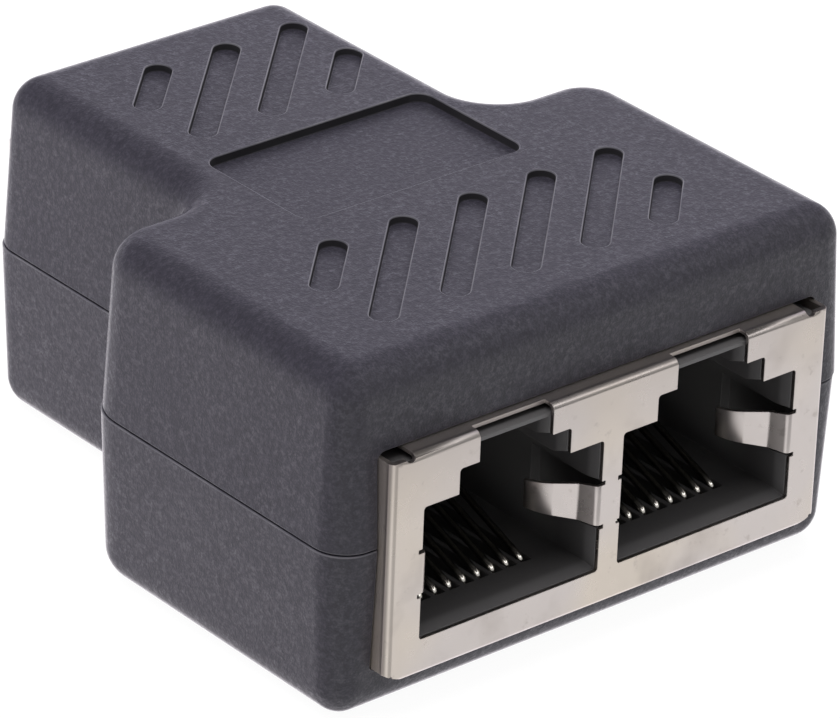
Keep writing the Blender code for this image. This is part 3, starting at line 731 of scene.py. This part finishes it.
class NodeTree:
    def __init__(self, owner):
        owner.use_nodes = True
        self.nodes = owner.node_tree.nodes
        self.links = owner.node_tree.links
        self.nodes.clear()

    def node(self, kind, settings=None, sockets=None, output=0):
        made = self.nodes.new(kind)
        for name, value in (settings or {}).items():
            if name == "stops":
                stops = made.color_ramp.elements
                while len(stops) < len(value):
                    stops.new(0.5)
                for stop, (place, color) in zip(stops, value):
                    stop.position = place
                    stop.color = (*color, 1) if isinstance(color, tuple) else (color, color, color, 1)
            else:
                setattr(made, name, value)
        for name, value in (sockets or {}).items():
            if isinstance(value, Socket):
                self.links.new(value.source, made.inputs[name])
            else:
                made.inputs[name].default_value = value
        return Socket(self, made.outputs[output]) if made.outputs else None

    def math(self, operation, first, second=0.0):
        return self.node("ShaderNodeMath", {"operation": operation}, {0: first, 1: second})

    def absolute(self, value):
        return self.math("ABSOLUTE", value)

    def larger(self, first, second):
        return self.math("MAXIMUM", first, second)

    def mixColor(self, share, first, second):
        first, second = ((*color, 1) if isinstance(color, tuple) else color for color in (first, second))
        return self.node("ShaderNodeMix", {"data_type": "RGBA"}, {0: share, 6: first, 7: second}, 2)

    def ramp(self, value, stops):
        return self.node("ShaderNodeValToRGB", {"stops": stops}, {0: value})

    def step(self, value, low, high):
        # 0 up to low, 1 from high on
        return self.ramp(value, [(low, 0.0), (high, 1.0)])

    def zone(self, place, span):
        # the same for a place in metres: span is its low end, its high end and a reach beyond both
        low, high, reach = span
        return self.step(place * (1 / reach), low / reach, high / reach)

    def sway(self, noise, share):
        # moves a value up and down with a noise
        return (noise - 0.5) * share

    def noise(self, place, kind):
        scale, detail, rough = kind
        sockets = {"Vector": place, "Scale": scale, "Detail": detail, "Roughness": rough}
        return self.node("ShaderNodeTexNoise", {}, sockets)

    def bump(self, height, distance, strength):
        return self.node("ShaderNodeBump", {}, {"Height": height, "Distance": distance, "Strength": strength})

    def objectPlace(self):
        return self.node("ShaderNodeTexCoord", output=3)

    def axis(self, vector, axis):
        return self.node("ShaderNodeSeparateXYZ", {}, {0: vector}, axis)

    def surface(self, shader):
        self.node("ShaderNodeOutputMaterial", {}, {"Surface": shader})


def principled(name, build):
    # a material whose build function returns the shader's sockets
    material = bpy.data.materials.new(name)
    tree = NodeTree(material)
    tree.surface(tree.node("ShaderNodeBsdfPrincipled", {}, build(tree)))
    return material


# Materials

# a noise is given by its scale, detail and roughness, a span by where it starts and where it is full

grain = {
    "color": (0.0242, 0.0222, 0.0315),
    "light": (0.0435, 0.04, 0.0555),
    "fine": (8000, 2, 0.6),
    "coarse": (3000, 2, 0.5),
    "patch": (800, 3, 0.6),
    "cloud": (90, 2, 0.5),
    "specks": (0.36, 0.66),
    "shiny": (0.48, 0.68),
    "rim": (0.7, 0.92),  # how far a surface there turns away from the eye
    "patchGloss": [(0.35, 0.4), (0.65, 1.0)],
    "gloss": 0.75,
    "rimGloss": 0.45,
    "coatRoughness": 0.35,
    "relief": (0.00009, 0.8),
    "roughness": 0.5,
    "rimRoughness": 0.15,
    "cloudSway": 0.1,
    "fineSway": 0.12,
}


def sparkErodedPlastic(tree):
    place = tree.objectPlace()
    fine = tree.noise(place, grain["fine"])
    coarse = tree.noise(place, grain["coarse"])
    cloud = tree.noise(place, grain["cloud"])
    rim = tree.step(tree.node("ShaderNodeLayerWeight", {}, {"Blend": 0.5}, 1), *grain["rim"])
    height = fine * 0.5 + coarse * 0.5
    # the raised specks get a lighter colour: partly the grain's own tone, partly painted glints where the
    # texture catches light
    specks = tree.step(height, *grain["specks"])
    patches = tree.ramp(tree.noise(place, grain["patch"]), grain["patchGloss"])
    roughness = grain["roughness"] + tree.sway(cloud, grain["cloudSway"]) + tree.sway(fine, grain["fineSway"])
    gloss = tree.step(height, *grain["shiny"]) * patches * grain["gloss"]
    return {
        "Base Color": tree.mixColor(specks, grain["color"], grain["light"]),
        "Roughness": roughness + rim * (grain["rimRoughness"] - grain["roughness"]),
        "Coat Weight": gloss + rim * grain["rimGloss"],
        "Coat Roughness": grain["coatRoughness"],
        "Normal": tree.bump(height, *grain["relief"]),
    }


# painted highlight: a lighter colour for the rounds on the shells' sharp edges
edgeHighlight = {
    "color": (0.15, 0.145, 0.16),
    "patch": (700, 2, 0.5),
    "roughness": 0.34,
    "fineSway": 0.15,
}


def paintedEdgeHighlight(tree):
    # painted highlight: the same plastic, with a lighter colour on its sharp edges that stands in for the
    # light lines along them, and a lower roughness
    place = tree.objectPlace()
    fine = tree.noise(place, grain["fine"])
    patch = tree.noise(place, edgeHighlight["patch"])
    return {
        "Base Color": tree.mixColor(patch, grain["light"], edgeHighlight["color"]),
        "Roughness": edgeHighlight["roughness"] + tree.sway(fine, edgeHighlight["fineSway"]),
    }


# painted shade: the recess walls are darker than the grained surface round them
recessWall = {
    "color": (0.018, 0.017, 0.02),
    "light": (0.03, 0.028, 0.032),
    "patch": (700, 2, 0.5),
    "roughness": 0.6,
    "patchSway": 0.1,
    "specular": 0.25,
}


def smoothWallPaintedShade(tree):
    # the walls of the recesses, which the tool's grain doesn't reach, in a darker colour that is painted
    # shade
    patch = tree.noise(tree.objectPlace(), recessWall["patch"])
    return {
        "Base Color": tree.mixColor(patch, recessWall["color"], recessWall["light"]),
        "Roughness": recessWall["roughness"] + tree.sway(patch, recessWall["patchSway"]),
        "Specular IOR Level": recessWall["specular"],
    }


nickel = {
    "color": (0.665, 0.61, 0.588),
    "warm": (0.72, 0.635, 0.53),
    "smudge": (0.42, 0.37, 0.34),
    "upper": (0.5, 0.45, 0.425),
    "warmth": (150, 1, 0.5),
    "cloud": (260, 3, 0.55),
    "spots": (1100, 3, 0.6),
    "fine": (1500, 2, 0.5),
    # each kind of mark: its noise, its span there, its share and its colour
    "marks": (("warmth", 0.45, 0.7, 0.6, "warm"), ("cloud", 0.56, 0.72, 0.4, "smudge"),
              ("spots", 0.62, 0.72, 0.45, "smudge")),
    # spans in metres, each with its reach
    "flange": (0.00038, 0.0006, 0.001),  # behind the bends, from the shield's face
    "side": (0.014, 0.0145, 0.02),  # the dual shield's side flanges, from the middle
    "top": (0.0118, 0.0122, 0.02),  # all that is higher above the ground, the top flanges too
    "fade": (0.0115, 0.0155, 0.02),  # where the darker upper part sets in
    "fadeShare": 0.5,
    "roughness": 0.3,
    "flangeRoughness": 0.26,
    "cloudSway": 0.15,
    "fineSway": 0.08,
    "relief": (0.000004, 0.3),
}


def nickelPlate(tree):
    place = tree.objectPlace()
    noises = {name: tree.noise(place, nickel[name]) for name in ("warmth", "cloud", "spots", "fine")}
    color = nickel["color"]
    for name, low, high, share, tone in nickel["marks"]:
        color = tree.mixColor(tree.step(noises[name], low, high) * share, color, nickel[tone])
    across, depth, up = (tree.axis(place, axis) for axis in range(3))
    inward = ports["face"] - tree.absolute(depth)
    outer = tree.larger(tree.zone(tree.absolute(across), nickel["side"]), tree.zone(up, nickel["top"]))
    dull = tree.zone(inward, nickel["flange"]) * outer * nickel["flangeRoughness"]
    fade = tree.zone(up, nickel["fade"]) * nickel["fadeShare"]
    roughness = nickel["roughness"] + dull + tree.sway(noises["cloud"], nickel["cloudSway"])
    return {
        "Base Color": tree.mixColor(fade, color, nickel["upper"]),
        "Metallic": 1.0,
        "Roughness": roughness + tree.sway(noises["fine"], nickel["fineSway"]),
        "Normal": tree.bump(noises["fine"], *nickel["relief"]),
    }


moulded = {
    "mouth": (0.11, 0.106, 0.108),
    "middle": (0.065, 0.062, 0.063),
    "inner": (0.14, 0.137, 0.135),
    # how far behind the shield's face each colour lies, and a reach beyond them
    # painted light: the mouth and inner colours lift the shade in the ports
    "depths": ((0.00085, "mouth"), (0.0011, "middle"), (0.003, "middle"), (0.005, "inner")),
    "reach": 0.01,
    "fine": (3500, 2, 0.5),
    "cloud": (240, 2, 0.5),
    "cloudShare": 0.4,
    "roughness": 0.4,
    "fineSway": 0.2,
    "relief": (0.000005, 0.3),
}


def mouldedBlack(tree):
    # painted light: paler than black plastic, to lift the shade inside the ports, most at the mouth, where
    # the lead-in catches light, and far inside
    place = tree.objectPlace()
    fine = tree.noise(place, moulded["fine"])
    cloud = tree.noise(place, moulded["cloud"])
    inward = ports["face"] - tree.absolute(tree.axis(place, 1))
    stops = [(depth / moulded["reach"], moulded[name]) for depth, name in moulded["depths"]]
    color = tree.ramp(inward * (1 / moulded["reach"]), stops)
    return {
        "Base Color": tree.mixColor(cloud * moulded["cloudShare"], color, moulded["middle"]),
        "Roughness": moulded["roughness"] + tree.sway(fine, moulded["fineSway"]),
        "Normal": tree.bump(fine, *moulded["relief"]),
    }


# painted glint on the tip and painted shade on the shank of each contact
glintAndShade = {
    "tip": (1.0, 0.96, 0.88),
    "shank": (0.17, 0.16, 0.14),
    "from": 0.01785,  # the shank ends and the tip begins, both from the middle
    "to": 0.0184,
    "cloud": (900, 2, 0.5),
    "cloudShare": 0.1,
    "roughness": 0.14,
}


def goldGlintAndShade(tree):
    # painted glint and painted shade: a pale colour on the front bend stands in for its glint, a dark one
    # behind it for the shade in the comb
    place = tree.objectPlace()
    cloud = tree.noise(place, glintAndShade["cloud"])
    depth = tree.absolute(tree.axis(place, 1))
    ahead = (depth - glintAndShade["from"]) * (1 / (glintAndShade["to"] - glintAndShade["from"]))
    return {
        "Base Color": tree.mixColor(tree.step(ahead, 0.0, 1.0), glintAndShade["shank"], glintAndShade["tip"]),
        "Metallic": 1.0,
        "Roughness": glintAndShade["roughness"] + cloud * glintAndShade["cloudShare"],
    }


laminate = {
    "color": (0.015, 0.1, 0.04),
    "light": (0.03, 0.16, 0.07),
    "weave": (1800, 2, 0.5),
    "lightShare": 0.6,
    "roughness": 0.3,
    "weaveShare": 0.15,
    "coat": 0.3,
}


def boardLaminate(tree):
    weave = tree.noise(tree.objectPlace(), laminate["weave"])
    return {
        "Base Color": tree.mixColor(weave * laminate["lightShare"], laminate["color"], laminate["light"]),
        "Roughness": laminate["roughness"] + weave * laminate["weaveShare"],
        "Coat Weight": laminate["coat"],
    }


shellMaterials = (principled("sparkErodedPlastic", sparkErodedPlastic), principled("paintedEdgeHighlight", paintedEdgeHighlight),
                  principled("smoothWallPaintedShade", smoothWallPaintedShade))
shieldMaterial = principled("nickelPlate", nickelPlate)
housingMaterial = principled("mouldedBlack", mouldedBlack)
contactMaterial = principled("goldGlintAndShade", goldGlintAndShade)
boardMaterial = principled("boardLaminate", boardLaminate)
print("materials made")


def paint(piece, *materials):
    if not piece.data.materials:
        piece.data.materials.append(None)
    for place, material in enumerate(materials):
        piece.material_slots[place].material = material


def dress(piece, node, slot, *materials):
    # gives a new piece its materials and its body, and hides the CAD node that it stands for
    paint(piece, *materials)
    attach(piece, "root")
    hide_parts(node)


dress(upperShell, "upper_shell", "shell", *shellMaterials)
dress(lowerShell, "lower_shell", "shell", *shellMaterials)
dress(dualShield, "dual_jack_shield", "shield", shieldMaterial)
dress(singleShield, "single_jack_shield", "shield", shieldMaterial)
dress(dualHousing, "dual_jack_housing", "housing", housingMaterial)
dress(singleHousing, "single_jack_housing", "housing", housingMaterial)
for node, wire in contacts.items():
    dress(wire, node, "contact", contactMaterial)
for node in ("left_contact_carrier", "right_contact_carrier", "rear_contact_carrier"):
    paint(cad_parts[node], housingMaterial)
paint(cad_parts["circuit_board"], boardMaterial)

# Studio

black = (0.0, 0.0, 0.0)

studio = {
    "floorSize": 3.0,
    "floorColor": (0.8, 0.8, 0.8, 1),
    "floorGlow": 1.08,
    "shadow": 0.12,
    "upGlow": 0.6,
    "diffuseLevel": 0.75,
    # what a gloss picks up from the front and the rear half, by height from 0, below, to 1, above
    "frontBands": [(0.0, 0.95), (0.46, 0.95), (0.53, 0.15), (0.6, 0.15),
                   (0.66, 0.45), (0.78, 0.3), (0.81, 1.7), (0.85, 1.7), (0.88, 0.1)],
    "rearBands": [(0.0, (1.32, 1.26, 1.33)), (0.23, (1.32, 1.26, 1.33)),
                  (0.3, (1.1, 1.06, 1.12)), (0.55, (1.1, 1.06, 1.15)),
                  (0.66, (0.8, 0.765, 0.92)), (0.76, (0.8, 0.765, 0.92)), (0.88, 0.15)],
    "turn": (0.42, 0.58),
    # round patches about a direction: it, the cosines where they start and are full, and their share
    "shade": ((-0.7, -0.7, 0.14), 0.2, 0.95, 0.75),
    "dips": (((0.0, -0.885, -0.465), 0.83, 0.91, 0.45), ((-0.455, 0.696, 0.557), 0.62, 0.86, 1.0),
             ((-0.87, 0.12, -0.47), 0.8, 0.95, 0.7)),
    # each softbox's name, place, target, size and power
    "softboxes": (("overheadBox", (-0.1, 0.05, 0.6), (0, 0, 0.01), 0.5, 3.0),
                  ("rearBox", (0.07, 0.05, 0.06), (0.01, 0.0, 0.02), 0.05, 0.045),
                  ("sideBox", (-0.08, 0.06, 0.02), (-0.011, 0.012, 0.005), 0.05, 0.048)),
}


def lightPath(tree):
    # whether a ray comes from the camera, straight or through glass, and whether it comes from a gloss
    names = ("Is Camera Ray", "Is Transmission Ray", "Is Glossy Ray")
    straight, through, glossy = (tree.node("ShaderNodeLightPath", output=name) for name in names)
    return tree.larger(straight, through), glossy


def paleFloor():
    material = bpy.data.materials.new("paleFloor")
    tree = NodeTree(material)
    seen, glossy = lightPath(tree)
    lit = tree.node("ShaderNodeBsdfDiffuse", {}, {"Color": studio["floorColor"]})
    white = tree.node("ShaderNodeEmission", {}, {"Color": (1, 1, 1, 1), "Strength": studio["floorGlow"]})
    clear = tree.node("ShaderNodeBsdfTransparent", {}, {"Color": (1, 1, 1, 1)})
    glow = seen * (1 - studio["shadow"] - studio["upGlow"]) + studio["upGlow"]
    pale = tree.node("ShaderNodeMixShader", {}, {0: glow, 1: lit, 2: white})
    tree.surface(tree.node("ShaderNodeMixShader", {}, {0: glossy, 1: pale, 2: clear}))
    return material


def studioWorld():
    world = bpy.data.worlds.new("studioWorld")
    tree = NodeTree(world)
    seen, glossy = lightPath(tree)
    direction = tree.node("ShaderNodeTexCoord", output=0)

    def patch(toward, outer, inner, share):
        close = tree.node("ShaderNodeVectorMath", {"operation": "DOT_PRODUCT"}, {0: direction, 1: toward}, 1)
        return tree.step(close, outer, inner) * share

    height, depth = (tree.axis(direction, axis) * 0.5 + 0.5 for axis in (2, 1))
    front, rear = (tree.ramp(height, studio[bands]) for bands in ("frontBands", "rearBands"))
    mirrored = tree.mixColor(tree.step(depth, *studio["turn"]), front, rear)
    for dip in studio["dips"]:  # dark patches that only a gloss picks up
        mirrored = tree.mixColor(patch(*dip), mirrored, black)
    # less light comes from one side
    soft = tree.mixColor(patch(*studio["shade"]), (studio["diffuseLevel"],) * 3, black)
    level = tree.mixColor(seen, tree.mixColor(glossy, soft, mirrored), (1.0, 1.0, 1.0))
    background = tree.node("ShaderNodeBackground", {}, {"Color": level, "Strength": 1.0})
    tree.node("ShaderNodeOutputWorld", {}, {"Surface": background})
    return world


def softbox(name, place, target, size, power):
    lamp = bpy.data.lights.new(name, "AREA")
    lamp.shape = "SQUARE"
    lamp.size = size
    lamp.energy = power
    thing = bpy.data.objects.new(name, lamp)
    bpy.context.scene.collection.objects.link(thing)
    thing.location = place
    thing.rotation_euler = (Vector(place) - Vector(target)).to_track_quat("Z", "Y").to_euler()
    thing.visible_glossy = False


bpy.ops.mesh.primitive_plane_add(size=studio["floorSize"], location=(0, 0, 0))
floor = bpy.context.object
floor.name = "floor"
floor.data.materials.append(paleFloor())
bpy.context.scene.world = studioWorld()
for box in studio["softboxes"]:
    softbox(*box)

view = {
    "location": (-0.2032238, -0.2413519, 0.1733109),
    "turn": (62.3698366, -2.0375879, -39.6798081),
    "lens": 270.5627,
    "sensor": 36,
    "clip": (0.01, 20),
}

camera = bpy.data.objects.new("camera", bpy.data.cameras.new("camera"))
bpy.context.scene.collection.objects.link(camera)
camera.location = view["location"]
camera.rotation_euler = [math.radians(angle) for angle in view["turn"]]
camera.data.lens = view["lens"]
camera.data.sensor_width = view["sensor"]
camera.data.clip_start, camera.data.clip_end = view["clip"]
bpy.context.scene.camera = camera
bpy.context.scene.view_settings.view_transform = "Standard"
print("studio set")
